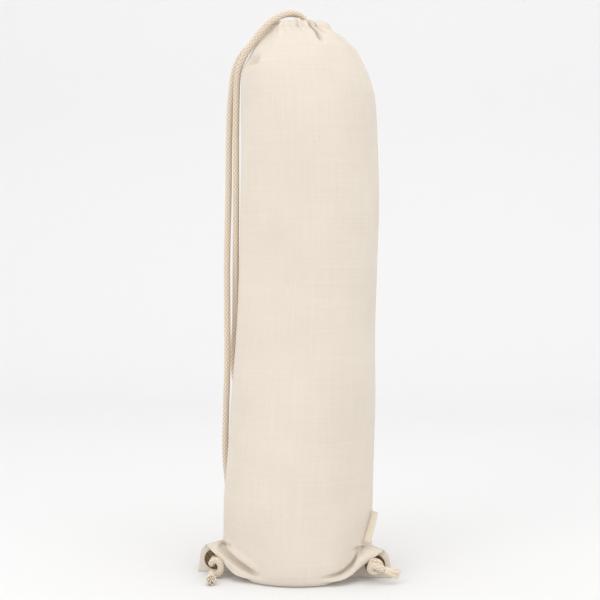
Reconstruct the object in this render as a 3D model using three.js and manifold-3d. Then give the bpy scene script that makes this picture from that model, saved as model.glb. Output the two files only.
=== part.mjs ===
// Drawstring yoga mat bag of natural cotton canvas, standing upright and filled out to a cylinder.
// Millimetres, +Z up, floor at z = 0, front towards -Y, the two bottom corners along X.
import * as THREE from "three";
import { mergeVertices } from "three/addons/utils/BufferGeometryUtils.js";
import Module from "manifold-3d";

const wasm = await Module();
wasm.setup();

// Cloth
const CLOTH = 1.6; // canvas thickness
const SEAM_GAP = 0.3; // between two pieces that are sewn or pressed together
const FOOT_RADIUS = 90; // round body at the floor
const FOOT_ROUNDING = 8; // radius of the edge between the body and its underside
const RIM_HEIGHT = 601; // upper end of the straight body
const SHOULDER_RISE = 43; // from the rim up to where the panels end under the drawstring tunnel
const BODY_LEAN = 14.5; // sideways shift of the body where it leans most
const SEAM_FORWARD = 38; // how far the side seams swing forward, just above the corners

// Bottom corners
const EAR_REACH = 116; // from the middle to the outer edge of a bottom corner
const EAR_HEIGHT = 41; // where a corner leaves the side of the body
const RIDGE_HEIGHT = 31; // upper end of the slanting fold over a corner
const LIP_DROOP = 7; // how far the fold hangs over the recess below it
const LIP_DEPTH = 9; // how far the fold stands out from the recess
const BACK_FOLD = 0.3; // share of that depth for the fold on the back

// Drawstring tunnel
const TUNNEL_HEIGHT = 9; // from the upper edge of the panels to the top of the ruffles
const TUNNEL_CLOTH = 2; // a folded hem is a little thicker than one layer
const GATHER_DEPTH = 6.5; // deepest gather in the shoulder
const RUFFLE_DEPTH = 2.6; // waves of the gathered tunnel

// Eyelets
const EYELET_BORE = 5; // radius of the hole
const EYELET_BARREL = 0.8; // wall of the barrel through the cloth
const EYELET_RIM = 12; // outer radius of the flange
const EYELET_FLANGE = 1.1; // thickness of a flange

// Place of each eyelet: inset from the outer edge of its corner, rise above the floor
const EYELETS = [
  { name: "left", side: -1, inset: 20, rise: 16 },
  { name: "right", side: 1, inset: 20, rise: 16 },
];

// Cord
const CORD_RADIUS = 4;
const CORD_SIDES = 8;
const FRAY_HEAD = 6; // round part in front of the frayed locks
const LOCK_ROOT = 2; // radius of a lock where it leaves the head
const LOCK_TIP = 0.7;

// Ribbon label sewn to the right side seam
const LABEL_THICKNESS = 0.9;
const LABEL_WIDTH = 9; // from the sewn edge to the free one
const LABEL_FOOT = 3.5; // lower end of the sewn edge, above the corner's top
const LABEL_LENGTH = 32; // height of the sewn edge
const LABEL_STANDOFF = 0.8; // from the seam to the label's sewn edge

// Sections of the body: height as a share of RIM_HEIGHT, radius of FOOT_RADIUS, lean of BODY_LEAN
const BODY_SECTIONS = [
  { height: 0.0, radius: 1.0, lean: 0.0 },
  { height: 0.082, radius: 1.0, lean: 0.04 },
  { height: 0.144, radius: 0.997, lean: 0.06 },
  { height: 0.223, radius: 0.98, lean: 0.22 },
  { height: 0.342, radius: 0.963, lean: 0.46 },
  { height: 0.48, radius: 0.922, lean: 0.68 },
  { height: 0.618, radius: 0.914, lean: 0.88 },
  { height: 0.736, radius: 0.917, lean: 1.0 },
  { height: 0.835, radius: 0.903, lean: 1.0 },
  { height: 0.934, radius: 0.887, lean: 0.9 },
  { height: 0.957, radius: 0.869, lean: 0.79 },
  { height: 0.983, radius: 0.838, lean: 0.64 },
  { height: 1.0, radius: 0.8, lean: 0.54 },
];

// Sections of the shoulder: rise as a share of the way from rim to neck, radius and lean as above
const SHOULDER_SECTIONS = [
  { rise: 0.0, radius: 0.8, lean: 0.54 },
  { rise: 0.26, radius: 0.735, lean: 0.59 },
  { rise: 0.46, radius: 0.684, lean: 0.55 },
  { rise: 0.64, radius: 0.616, lean: 0.41 },
  { rise: 0.81, radius: 0.551, lean: 0.31 },
  { rise: 0.93, radius: 0.493, lean: 0.11 },
  { rise: 1.0, radius: 0.46, lean: 0.0 },
];

// Side seams: height as a share of RIM_HEIGHT, place in front of the middle as a share of SEAM_FORWARD
const SEAM_LINE = [
  { height: 0.0, forward: 0.79 },
  { height: 0.06, forward: 0.79 },
  { height: 0.063, forward: 0.79 },
  { height: 0.074, forward: 1.0 },
  { height: 0.095, forward: 0.8 },
  { height: 0.125, forward: 0.42 },
  { height: 0.17, forward: 0.14 },
  { height: 0.25, forward: 0.0 },
  { height: 1.0, forward: 0.0 },
];

// Outer edge of a corner: height as a share of EAR_HEIGHT, reach from the body's side (0) to EAR_REACH (1)
const EAR_EDGE = [
  { height: 0.0, reach: 1.0 },
  { height: 0.3, reach: 0.95 },
  { height: 0.63, reach: 0.88 },
  { height: 0.72, reach: 0.8 },
  { height: 0.78, reach: 0.68 },
  { height: 0.88, reach: 0.36 },
  { height: 0.94, reach: 0.15 },
  { height: 1.0, reach: 0.0 },
];

// Lower edge of the slanting fold: reach as a share of EAR_REACH, rise as a share of RIDGE_HEIGHT
const RIDGE_LINE = [
  { reach: 0.0, rise: 0.13 },
  { reach: 0.34, rise: 0.13 },
  { reach: 0.47, rise: 0.16 },
  { reach: 0.6, rise: 0.27 },
  { reach: 0.78, rise: 0.68 },
  { reach: 0.94, rise: 1.0 },
  { reach: 1.0, rise: 1.0 },
];

// Gathers: angle from the front towards +X and width in degrees, depth as a share of GATHER_DEPTH,
// start as a share of the way from rim to neck, negative where a fold begins below the rim
const GATHERS = [
  { angle: -66, width: 7, depth: 0.5, start: 0.2 },
  { angle: -43, width: 15, depth: 0.95, start: -0.05 },
  { angle: -24, width: 4.5, depth: 0.45, start: 0.45 },
  { angle: -9, width: 5, depth: 0.3, start: 0.5 },
  { angle: 12, width: 5.5, depth: 0.5, start: 0.45 },
  { angle: 36, width: 5, depth: 1.0, start: 0.4 },
  { angle: 49, width: 5, depth: 0.45, start: 0.55 },
  { angle: 71, width: 7, depth: 0.5, start: -0.75 },
  { angle: 98, width: 6, depth: 0.6, start: 0.3 },
  { angle: 117, width: 6, depth: 0.9, start: 0.1 },
  { angle: 138, width: 7, depth: 0.7, start: 0.35 },
  { angle: 160, width: 6, depth: 0.95, start: 0.15 },
  { angle: 182, width: 6, depth: 0.6, start: 0.4 },
  { angle: 205, width: 7, depth: 0.9, start: 0.0 },
  { angle: 228, width: 6, depth: 0.65, start: 0.3 },
  { angle: 250, width: 6, depth: 0.9, start: 0.2 },
  { angle: 272, width: 6, depth: 0.6, start: 0.4 },
];

// Wall of the tunnel, from the outer lower edge over the top and down into the mouth:
// spread as a share of the neck's radius, rise as a share of TUNNEL_HEIGHT
const TUNNEL_WALL = [
  { spread: 1.0, rise: 0.0, ruffle: 0.1 },
  { spread: 1.0, rise: 0.3, ruffle: 0.6 },
  { spread: 0.92, rise: 0.66, ruffle: 1.0 },
  { spread: 0.8, rise: 0.9, ruffle: 1.0 },
  { spread: 0.68, rise: 1.0, ruffle: 1.0 },
  { spread: 0.57, rise: 0.9, ruffle: 1.0 },
  { spread: 0.49, rise: 0.5, ruffle: 0.7 },
  { spread: 0.45, rise: -0.1, ruffle: 0.5 },
  { spread: 0.44, rise: -0.8, ruffle: 0.4 },
];

const RAD = Math.PI / 180;
const mix = (a, b, share) => a + (b - a) * share;
const clamp = (x, low, high) => Math.min(Math.max(x, low), high);
const smooth = (low, high, x) => {
  const share = clamp((x - low) / (high - low), 0, 1);
  return share * share * (3 - 2 * share);
};

// Value of one column of a table at x, on a smooth curve through its rows
function along(table, key, column, x) {
  const last = table.length - 1;
  let i = 0;
  while (i < last - 1 && x > table[i + 1][key]) i += 1;
  const slope = (a, b) => (table[b][column] - table[a][column]) / (table[b][key] - table[a][key]);
  const span = table[i + 1][key] - table[i][key];
  const share = clamp((x - table[i][key]) / span, 0, 1);
  const start = slope(Math.max(i - 1, 0), i + 1) * span;
  const end = slope(i, Math.min(i + 2, last)) * span;
  const square = share * share;
  const cube = square * share;
  return (
    (2 * cube - 3 * square + 1) * table[i][column] +
    (cube - 2 * square + share) * start +
    (3 * square - 2 * cube) * table[i + 1][column] +
    (cube - square) * end
  );
}

const NECK_HEIGHT = RIM_HEIGHT + SHOULDER_RISE;
const shoulderRise = (z) => (z - RIM_HEIGHT) / SHOULDER_RISE;

// Radius of the smooth body at height z, without gathers
function bodyRadius(z) {
  if (z > RIM_HEIGHT) return FOOT_RADIUS * along(SHOULDER_SECTIONS, "rise", "radius", shoulderRise(z));
  const round = clamp(1 - z / FOOT_ROUNDING, 0, 1);
  const full = FOOT_RADIUS * along(BODY_SECTIONS, "height", "radius", z / RIM_HEIGHT);
  return full - FOOT_ROUNDING * (1 - Math.sqrt(1 - round * round));
}

// Sideways place of the body's middle at height z
function bodyMiddle(z) {
  if (z > RIM_HEIGHT) return BODY_LEAN * along(SHOULDER_SECTIONS, "rise", "lean", shoulderRise(z));
  return BODY_LEAN * along(BODY_SECTIONS, "height", "lean", z / RIM_HEIGHT);
}

// Depth of the gathers at an angle in degrees from the front, at height z
function gatherDepth(angle, z) {
  const rise = shoulderRise(z);
  let depth = 0;
  for (const fold of GATHERS) {
    const apart = ((angle - fold.angle + 540) % 360) - 180;
    const shape = Math.exp(-((apart / fold.width) ** 2));
    depth += GATHER_DEPTH * fold.depth * shape * smooth(fold.start, 1, rise);
  }
  return depth;
}

// Forward place of the side seams at height z
const seamPlane = (z) =>
  -SEAM_FORWARD * along(SEAM_LINE, "height", "forward", clamp(z / RIM_HEIGHT, 0, 1));

// Middle of an eyelet, and how far out from the middle the recess round the eyelets has to be flat
const eyeletPlace = ({ side, inset, rise }) => [side * (EAR_REACH - inset), seamPlane(rise), rise];
const FLAT_REACH = EAR_REACH - Math.max(...EYELETS.map((eyelet) => eyelet.inset)) - EYELET_RIM - 5;

const earReach = (z) => along(EAR_EDGE, "height", "reach", clamp(z / EAR_HEIGHT, 0, 1));

const BODY_SHARE = 0.7; // share of a panel's half width that lies on the round body

// Outer face of a panel at height z. across runs from -1 to 1, facing is -1 for the front, 1 for the back.
function panelSection(facing, across, z) {
  const radius = bodyRadius(z);
  const middle = bodyMiddle(z);
  const seamY = seamPlane(z);
  const side = Math.sign(across) || 1;
  const seamAngle = Math.acos(clamp((facing * seamY) / radius, -1, 1));
  const bodyAngle = seamAngle * BODY_SHARE;
  const share = Math.abs(across);
  if (share <= BODY_SHARE) {
    const angle = seamAngle * share;
    return [middle + side * radius * Math.sin(angle), facing * radius * Math.cos(angle)];
  }
  const flap = earReach(z);
  const flat = smooth(0, 0.3, flap);
  const bodyEnd = middle + side * radius * Math.sin(seamAngle);
  const tipX = mix(bodyEnd, side * EAR_REACH, flap);
  const tipY = seamY + facing * (SEAM_GAP / 2 + CLOTH * flat);
  const handle = (4 / 3) * Math.tan((seamAngle - bodyAngle) / 4) * radius;
  const from = [middle + side * radius * Math.sin(bodyAngle), facing * radius * Math.cos(bodyAngle)];
  const leave = [
    from[0] + side * handle * Math.cos(bodyAngle),
    from[1] - facing * handle * Math.sin(bodyAngle),
  ];
  const arrive = [
    tipX - side * mix(handle * Math.cos(seamAngle), 22, flat),
    mix(tipY + facing * handle * Math.sin(seamAngle), tipY, flat),
  ];
  const u = (share - BODY_SHARE) / (1 - BODY_SHARE);
  const v = 1 - u;
  const blend = (a, b, c, d) => v * v * v * a + 3 * v * v * u * b + 3 * v * u * u * c + u * u * u * d;
  return [
    blend(from[0], leave[0], arrive[0], tipX),
    blend(from[1], leave[1], arrive[1], tipY),
  ];
}

// Rows of a panel from the bottom seam to the neck.
// under rows cross the underside, foot rows follow the slanting fold, body rows are level.
const UNDER_ROWS = [1, 0.5];
const FOOT_ROWS = [
  { name: "edge", share: 0, above: 0, recess: 1, lip: 0 },
  { name: "low", share: 0.4, above: 0, recess: 1, lip: 0 },
  { name: "high", share: 0.8, above: 0.45, recess: 1, lip: 0 },
  { name: "inner", share: 1, above: 1, recess: 1, lip: 0 },
  { name: "lip", share: 1, above: 0, rise: 1.2, recess: 0, lip: 0.75 },
  { name: "crest", share: 1, above: 0, rise: 4.5, recess: 0, lip: 1 },
  { name: "back", share: 1, above: 0, rise: 10, recess: 0, lip: 0.1 },
  { name: "valley", share: 1, above: 0, rise: 15.5, recess: 0, lip: -0.45 },
  { name: "top", share: 1, above: 0, rise: 23, recess: 0, lip: -0.1 },
];
const BODY_ROWS = [0.11, 0.15, 0.21, 0.32, 0.46, 0.6, 0.74, 0.86, 0.935, 0.97, 1.0];
const SHOULDER_ROWS = [0.17, 0.34, 0.5, 0.65, 0.8, 0.9, 1.0];

const FRONT_COLUMNS = 34;
const BACK_COLUMNS = 20;
const CORNER_COLUMNS = 0.44; // share of the columns that lies beside the round body

// Spreads evenly counted columns so that they lie closer in the corners
function spreadColumn(even) {
  const count = Math.abs(even);
  const inner = 1 - CORNER_COLUMNS;
  const body = (count / inner) * BODY_SHARE;
  const corner = mix(BODY_SHARE, 1, (count - inner) / CORNER_COLUMNS);
  return Math.sign(even) * (count < inner ? body : corner);
}

// One point of a panel's outer face
function panelPoint(facing, across, row) {
  if (row.level !== undefined) {
    const [x, y] = panelSection(facing, across, row.level);
    const middle = bodyMiddle(row.level);
    const angle = Math.atan2(x - middle, -y) / RAD;
    const radius = Math.hypot(x - middle, y);
    const scale = 1 - gatherDepth(angle, row.level) / radius;
    return [middle + (x - middle) * scale, y * scale, row.level];
  }
  const share = Math.abs(across);
  const side = Math.sign(across) || 1;
  const foot = panelSection(facing, across, RIDGE_HEIGHT * 0.3);
  const reach = Math.abs(foot[0]) / EAR_REACH;
  const ridge = RIDGE_HEIGHT * along(RIDGE_LINE, "reach", "rise", reach);
  const fold = smooth(0.36, 0.56, reach) * (1 - smooth(0.96, 1, share));
  const step = row.under !== undefined ? FOOT_ROWS[0] : row;
  const z = ridge * step.share + LIP_DROOP * fold * step.above + (step.rise || 0);
  const [x, y] = panelSection(facing, across, z);
  const seamY = seamPlane(z);
  const plane = seamY + facing * (SEAM_GAP / 2 + CLOTH);
  const inward = clamp((FLAT_REACH - Math.abs(x)) / EAR_REACH, 0, 1);
  const recessY = plane + facing * 400 * inward * inward;
  const recessed = step.recess * fold;
  const limit = (value) => (facing < 0 ? Math.min(value, plane) : Math.max(value, plane));
  const settled = mix(y, facing < 0 ? Math.max(y, recessY) : Math.min(y, recessY), recessed);
  const held = mix(1, smooth(0, 0.35, earReach(z)), smooth(0.55, 0.8, share));
  const edge = held * (1 - smooth(0.88, 1, share));
  const lip = LIP_DEPTH * (facing < 0 ? 1 : BACK_FOLD) * fold * step.lip * edge;
  const point = [x, settled + facing * lip, z];
  if (flatHere(z, share)) point[1] = limit(point[1]);
  if (row.under !== undefined) point[1] = mix(point[1], seamY + facing * (SEAM_GAP / 2), row.under);
  return point;
}

const flatHere = (z, share) => z < EAR_HEIGHT * 0.8 && share > BODY_SHARE;

// A closed shell from a grid of outer points: the inner face is offset along the face's normal.
// wrap joins the last column to the first; limit keeps the inner points on their side of the seam.
function shellGeometry(grid, thickness, wrap, limit) {
  const rows = grid.length;
  const columns = grid[0].length;
  const column = (i) => (wrap ? (i + columns) % columns : clamp(i, 0, columns - 1));
  const outer = grid.map((line) => line.map((p) => new THREE.Vector3(...p)));
  const inner = outer.map((line, j) =>
    line.map((point, i) => {
      const across = new THREE.Vector3().subVectors(outer[j][column(i + 1)], outer[j][column(i - 1)]);
      const up = new THREE.Vector3().subVectors(
        outer[Math.min(j + 1, rows - 1)][i],
        outer[Math.max(j - 1, 0)][i],
      );
      const normal = across.cross(up).normalize();
      return limit(point.clone().addScaledVector(normal, -thickness), point, j);
    }),
  );
  const positions = [...outer.flat(), ...inner.flat()].flatMap((p) => [p.x, p.y, p.z]);
  const at = (layer, j, i) => layer * rows * columns + j * columns + column(i);
  const faces = [];
  const quad = (a, b, c, d) => faces.push(a, b, c, a, c, d);
  const lastColumn = wrap ? columns : columns - 1;
  for (let j = 0; j < rows - 1; j += 1) {
    for (let i = 0; i < lastColumn; i += 1) {
      quad(at(0, j, i), at(0, j, i + 1), at(0, j + 1, i + 1), at(0, j + 1, i));
      quad(at(1, j, i), at(1, j + 1, i), at(1, j + 1, i + 1), at(1, j, i + 1));
    }
  }
  for (let i = 0; i < lastColumn; i += 1) {
    quad(at(0, 0, i), at(1, 0, i), at(1, 0, i + 1), at(0, 0, i + 1));
    quad(at(0, rows - 1, i), at(0, rows - 1, i + 1), at(1, rows - 1, i + 1), at(1, rows - 1, i));
  }
  for (let j = 0; j < rows - 1 && !wrap; j += 1) {
    quad(at(0, j, 0), at(0, j + 1, 0), at(1, j + 1, 0), at(1, j, 0));
    quad(at(0, j, lastColumn), at(1, j, lastColumn), at(1, j + 1, lastColumn), at(0, j + 1, lastColumn));
  }
  const geometry = new THREE.BufferGeometry();
  geometry.setAttribute("position", new THREE.Float32BufferAttribute(positions, 3));
  geometry.setIndex(faces);
  return geometry;
}

// Solids for joins and cuts
function solidOf(geometry) {
  const bare = geometry.clone();
  bare.deleteAttribute("normal");
  bare.deleteAttribute("uv");
  const merged = mergeVertices(bare, 1e-4);
  return new wasm.Manifold(
    new wasm.Mesh({
      numProp: 3,
      vertProperties: merged.attributes.position.array,
      triVerts: new Uint32Array(merged.index.array),
    }),
  );
}

function geometryOf(solid) {
  const mesh = solid.getMesh();
  const geometry = new THREE.BufferGeometry();
  geometry.setAttribute("position", new THREE.BufferAttribute(mesh.vertProperties, 3));
  geometry.setIndex(new THREE.BufferAttribute(mesh.triVerts, 1));
  return geometry;
}

const clothHole = EYELET_BORE + EYELET_BARREL + SEAM_GAP;

function panelGeometry(facing, columns) {
  const rows = [
    ...UNDER_ROWS.map((under) => ({ under })),
    ...FOOT_ROWS,
    ...BODY_ROWS.map((share) => ({ level: share * RIM_HEIGHT })),
    ...SHOULDER_ROWS.map((share) => ({ level: mix(RIM_HEIGHT, NECK_HEIGHT, share) })),
  ];
  const grid = rows.map((row) =>
    Array.from({ length: columns + 1 }, (_, i) => {
      const across = spreadColumn(-1 + (2 * i) / columns);
      return panelPoint(facing, facing < 0 ? across : -across, row);
    }),
  );
  const limit = (point) => {
    const edge = seamPlane(Math.max(point.z, 0)) + 2 * facing * SEAM_GAP;
    point.y = facing < 0 ? Math.min(point.y, edge) : Math.max(point.y, edge);
    point.z = Math.max(point.z, CLOTH);
    return point;
  };
  let solid = solidOf(shellGeometry(grid, CLOTH, false, limit));
  for (const eyelet of EYELETS) {
    const drill = new THREE.CylinderGeometry(clothHole, clothHole, 4 * LIP_DEPTH, 24);
    drill.translate(...eyeletPlace(eyelet));
    solid = solid.subtract(solidOf(drill));
  }
  return geometryOf(solid);
}

// Gathered tunnel: the wall's section is carried round the mouth, waved by the gathers
const TUNNEL_COLUMNS = 40;
const RUFFLES = 11;

function tunnelPoint(angle, section) {
  const degrees = angle / RAD;
  const neck = bodyRadius(NECK_HEIGHT) - gatherDepth(degrees, NECK_HEIGHT);
  const wave = Math.sin(RUFFLES * angle + 0.9 * Math.sin(3 * angle));
  const radius = neck * section.spread + RUFFLE_DEPTH * section.ruffle * wave;
  const lift = 0.12 * TUNNEL_HEIGHT * section.ruffle * Math.sin(5 * angle + 1);
  const base = NECK_HEIGHT + SEAM_GAP;
  const z = base + TUNNEL_HEIGHT * section.rise + (section.rise > 0 ? lift : 0);
  return [bodyMiddle(NECK_HEIGHT) + radius * Math.sin(angle), -radius * Math.cos(angle), z];
}

function tunnelGeometry() {
  const grid = TUNNEL_WALL.map((section) =>
    Array.from({ length: TUNNEL_COLUMNS }, (_, i) =>
      tunnelPoint((2 * Math.PI * i) / TUNNEL_COLUMNS, section),
    ),
  );
  const limit = (point, outer, row) => (row === 0 ? point.setZ(outer.z) : point);
  return shellGeometry(grid, TUNNEL_CLOTH, true, limit);
}

// Eyelet: two flanges on a barrel, turned about Y
function eyeletGeometry() {
  const half = SEAM_GAP / 2 + CLOTH + SEAM_GAP;
  const barrel = EYELET_BORE + EYELET_BARREL;
  const profile = [
    [EYELET_BORE, -half - 0.5 * EYELET_FLANGE],
    [EYELET_BORE + 1.2, -half - EYELET_FLANGE],
    [EYELET_RIM - 1.5, -half - EYELET_FLANGE],
    [EYELET_RIM, -half],
    [barrel, -half],
    [barrel, half],
    [EYELET_RIM, half],
    [EYELET_RIM - 1.5, half + EYELET_FLANGE],
    [EYELET_BORE + 1.2, half + EYELET_FLANGE],
    [EYELET_BORE, half + 0.5 * EYELET_FLANGE],
    [EYELET_BORE, -half - 0.5 * EYELET_FLANGE],
  ].map(([r, y]) => new THREE.Vector2(r, y));
  return new THREE.LatheGeometry(profile, 16);
}

// Cord: a round section carried along a smooth curve
function cordGeometry(points, steps, radius = CORD_RADIUS) {
  const path = new THREE.CatmullRomCurve3(points.map((p) => new THREE.Vector3(...p)), false, "centripetal");
  const section = new THREE.Shape();
  for (let i = 0; i < CORD_SIDES; i += 1) {
    const angle = (2 * Math.PI * i) / CORD_SIDES;
    const corner = [radius * Math.cos(angle), radius * Math.sin(angle)];
    if (i === 0) section.moveTo(...corner);
    else section.lineTo(...corner);
  }
  return new THREE.ExtrudeGeometry(section, { steps, bevelEnabled: false, extrudePath: path });
}

// Routes of the two free cords, each point chosen by hand along the way that the cord takes
const CORD_LEFT_ROUTE = [
  [-46.5, 6, 644.5],
  [-51.5, 6, 637.5],
  [-59, 5, 628],
  [-68, 4, 617.5],
  [-74.1, 3, 606],
  [-77.8, 3, 593],
  [-81.6, 3, 562],
  [-83.2, 3, 526],
  [-84.5, 3, 447],
  [-85.8, 0, 368],
  [-85.4, -2, 320],
  [-85.2, -3, 247],
  [-88, 2, 190],
  [-90.8, 12, 135],
  [-90.5, 24, 99],
  [-89.8, 32, 70],
  [-90, 34, 40],
  [-94.5, 24, 22],
  [-98.5, 9, 16.5],
  [-98.5, -8, 16],
  [-96.5, -22, 16],
  [-96, -37.5, 16],
];
const CORD_RIGHT_ROUTE = [
  [12, -3, 643],
  [10.5, -4, 651],
  [6.5, -7, 658.5],
  [0, -11.5, 661.8],
  [-7.5, -17, 661.8],
  [-16.5, -23.5, 658.5],
  [-28.5, -30, 650],
  [-38.4, -30.5, 640],
  [-48, -28.5, 628.4],
  [-58.4, -24, 615],
  [-66.8, -18, 600.4],
  [-70.2, -13, 588],
  [-72.2, -9, 561],
  [-73.2, -7, 525],
  [-73.9, -4, 447],
  [-75.8, 4, 368],
  [-77.9, 9.5, 295],
  [-80.6, 12.5, 255],
  [-80.4, 26, 222],
  [-75, 47, 188],
  [-71, 58.5, 140],
  [-66, 68, 95],
  [-58, 77, 55],
  [-47, 86, 24],
  [-34, 93.5, 8.5],
  [-18, 99, 4.6],
  [6, 102, 4.2],
  [32, 100, 4.2],
  [57, 91, 4.2],
  [79, 74, 4.6],
  [94, 52, 6],
  [101.5, 28, 10.5],
  [100.5, 6, 15],
  [97, -14, 16],
  [96, -37.5, 16],
];

// Overhand knots: the turn of cord in front of each eyelet and the tail that leaves it
const KNOT_LEFT_ROUTE = [
  [-96, -38, 16],
  [-96, -43.5, 15.6],
  [-95.8, -49.2, 15],
  [-94.4, -53.8, 17.4],
  [-90.6, -55.6, 20.9],
  [-85.6, -56.4, 18.6],
  [-83.2, -57.4, 13],
  [-84.4, -58.2, 7.6],
  [-88.2, -58.6, 4.6],
  [-92.4, -59.6, 5.4],
  [-93.6, -61.8, 6.7],
  [-92.9, -65.4, 6.8],
];
const KNOT_RIGHT_ROUTE = [
  [96, -38, 16],
  [96, -40.6, 16],
  [93, -44, 17],
  [93.2, -47, 21.4],
  [97.6, -48.6, 23.8],
  [102.6, -50.2, 21.8],
  [103.8, -52, 17.6],
  [100.6, -54, 14.2],
  [96, -55.8, 13.6],
  [92.4, -57.6, 16.6],
  [93.6, -59.8, 20.8],
  [98.4, -61, 21.8],
  [103.2, -60.2, 19.6],
  [108, -58.6, 17.2],
];

// Frayed ends: from the knot's last turn to the tip of the longest lock
const FRAY_LEFT_WAY = [
  [-92.7, -66.4, 6.8],
  [-88, -94, 6.2],
];
const FRAY_RIGHT_WAY = [
  [108.7, -58.4, 16.9],
  [126, -52.5, 10],
];

// Locks of a frayed end: turn about its axis and lean from it in degrees,
// offset as a share of CORD_RADIUS, length as a share of the longest lock
const FRAY_LOCKS = [
  { turn: 0, lean: 0, offset: 0.0, length: 1.0 },
  { turn: 10, lean: 13, offset: 0.5, length: 0.9 },
  { turn: 52, lean: 8, offset: 0.5, length: 0.97 },
  { turn: 118, lean: 8, offset: 0.5, length: 0.84 },
  { turn: 172, lean: 14, offset: 0.5, length: 0.93 },
  { turn: 245, lean: 7, offset: 0.5, length: 1.0 },
];

// Frayed end: tapering locks that leave a short round head, joined to one solid
function frayGeometry([start, end]) {
  const from = new THREE.Vector3(...start);
  const way = new THREE.Vector3(...end).sub(from);
  const longest = way.length() - FRAY_HEAD + LOCK_ROOT;
  way.normalize();
  const head = new THREE.CylinderGeometry(CORD_RADIUS, CORD_RADIUS, FRAY_HEAD, 10);
  head.translate(0, FRAY_HEAD / 2, 0);
  let solid = solidOf(head);
  for (const lock of FRAY_LOCKS) {
    const length = lock.length * longest;
    const strand = new THREE.CylinderGeometry(LOCK_TIP, LOCK_ROOT, length, 6);
    strand.translate(0, length / 2, 0);
    strand.rotateZ(-lock.lean * RAD);
    strand.translate(lock.offset * CORD_RADIUS, FRAY_HEAD - LOCK_ROOT, 0);
    strand.rotateY(lock.turn * RAD);
    solid = solid.add(solidOf(strand));
  }
  const geometry = geometryOf(solid);
  geometry.applyQuaternion(new THREE.Quaternion().setFromUnitVectors(new THREE.Vector3(0, 1, 0), way));
  geometry.translate(...from.toArray());
  return geometry;
}

// Ribbon label: its sewn edge follows the right side seam, its free edge stands out from it
function labelGeometry() {
  const sewn = [EAR_HEIGHT + LABEL_FOOT, EAR_HEIGHT + LABEL_FOOT + LABEL_LENGTH].map((z) => {
    const y = seamPlane(z);
    const x = bodyMiddle(z) + Math.sqrt(bodyRadius(z) ** 2 - y * y);
    return [x + LABEL_STANDOFF, y - LABEL_STANDOFF, z];
  });
  const free = sewn.map(([x, y, z]) => [
    x + 0.93 * LABEL_WIDTH,
    y - 0.33 * LABEL_WIDTH,
    z - 0.17 * LABEL_WIDTH,
  ]);
  const points = [sewn[0], free[0], free[1], sewn[1]].flatMap(([x, y, z]) => [
    [x, y - LABEL_THICKNESS / 2, z],
    [x, y + LABEL_THICKNESS / 2, z],
  ]);
  const geometry = new THREE.BufferGeometry();
  geometry.setAttribute("position", new THREE.Float32BufferAttribute(points.flat(), 3));
  const faces = [];
  const quad = (a, b, c, d) => faces.push(a, b, c, a, c, d);
  quad(0, 2, 4, 6);
  quad(1, 7, 5, 3);
  quad(0, 1, 3, 2);
  quad(2, 3, 5, 4);
  quad(4, 5, 7, 6);
  quad(6, 7, 1, 0);
  geometry.setIndex(faces);
  return geometry;
}

// Material of each kind of piece
const finish = (color, roughness, metalness = 0) =>
  new THREE.MeshStandardMaterial({ color, roughness, metalness });
const canvas = () => finish(0xe9e0d2, 0.95);
const cotton = () => finish(0xe2d6c6, 0.95);
const bronze = () => finish(0x4a3d30, 0.4, 1);
const ribbon = () => finish(0xe8ddcb, 0.8);

const bag = new THREE.Group();

function add(name, geometry, material) {
  const mesh = new THREE.Mesh(geometry, material);
  mesh.name = name;
  bag.add(mesh);
  return mesh;
}

add("front_panel", panelGeometry(-1, FRONT_COLUMNS), canvas());
add("back_panel", panelGeometry(1, BACK_COLUMNS), canvas());
add("drawstring_tunnel", tunnelGeometry(), canvas());
for (const eyelet of EYELETS) {
  add(`eyelet_${eyelet.name}`, eyeletGeometry(), bronze()).position.set(...eyeletPlace(eyelet));
}
add("cord_left", cordGeometry(CORD_LEFT_ROUTE, 46), cotton());
add("cord_right", cordGeometry(CORD_RIGHT_ROUTE, 54), cotton());
add("knot_left", cordGeometry(KNOT_LEFT_ROUTE, 20), cotton());
add("knot_right", cordGeometry(KNOT_RIGHT_ROUTE, 24), cotton());
add("cord_end_left", frayGeometry(FRAY_LEFT_WAY), cotton());
add("cord_end_right", frayGeometry(FRAY_RIGHT_WAY), cotton());
add("seam_label", labelGeometry(), ribbon());

export default bag;
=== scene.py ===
# Drawstring yoga mat bag of natural cotton canvas with braided cords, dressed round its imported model.
# Metres, +Z up, floor at z = 0, front towards -Y, the two bottom corners along X.
import math

import bpy
import numpy as np
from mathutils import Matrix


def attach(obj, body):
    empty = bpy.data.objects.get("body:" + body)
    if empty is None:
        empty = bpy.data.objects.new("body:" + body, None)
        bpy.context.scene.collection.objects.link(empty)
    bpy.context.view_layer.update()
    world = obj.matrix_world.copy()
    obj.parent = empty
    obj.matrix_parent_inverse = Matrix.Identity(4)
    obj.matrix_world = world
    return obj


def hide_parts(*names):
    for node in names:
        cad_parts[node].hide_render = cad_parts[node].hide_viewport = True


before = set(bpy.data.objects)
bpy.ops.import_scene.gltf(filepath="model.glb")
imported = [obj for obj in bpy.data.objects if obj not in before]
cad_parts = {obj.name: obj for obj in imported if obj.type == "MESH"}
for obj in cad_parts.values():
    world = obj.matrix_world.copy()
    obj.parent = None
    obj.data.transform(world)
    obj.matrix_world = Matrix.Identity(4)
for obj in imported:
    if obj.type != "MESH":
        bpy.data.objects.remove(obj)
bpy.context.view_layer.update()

# Camera
CAMERA_AZIMUTH = math.radians(7.5)
CAMERA_PITCH = math.radians(2.94)
CAMERA_DISTANCE = 1.5
CAMERA_HEIGHT = 0.402
CAMERA_SIDE = 0.0029
CAMERA_LENS = 75.2


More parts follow.
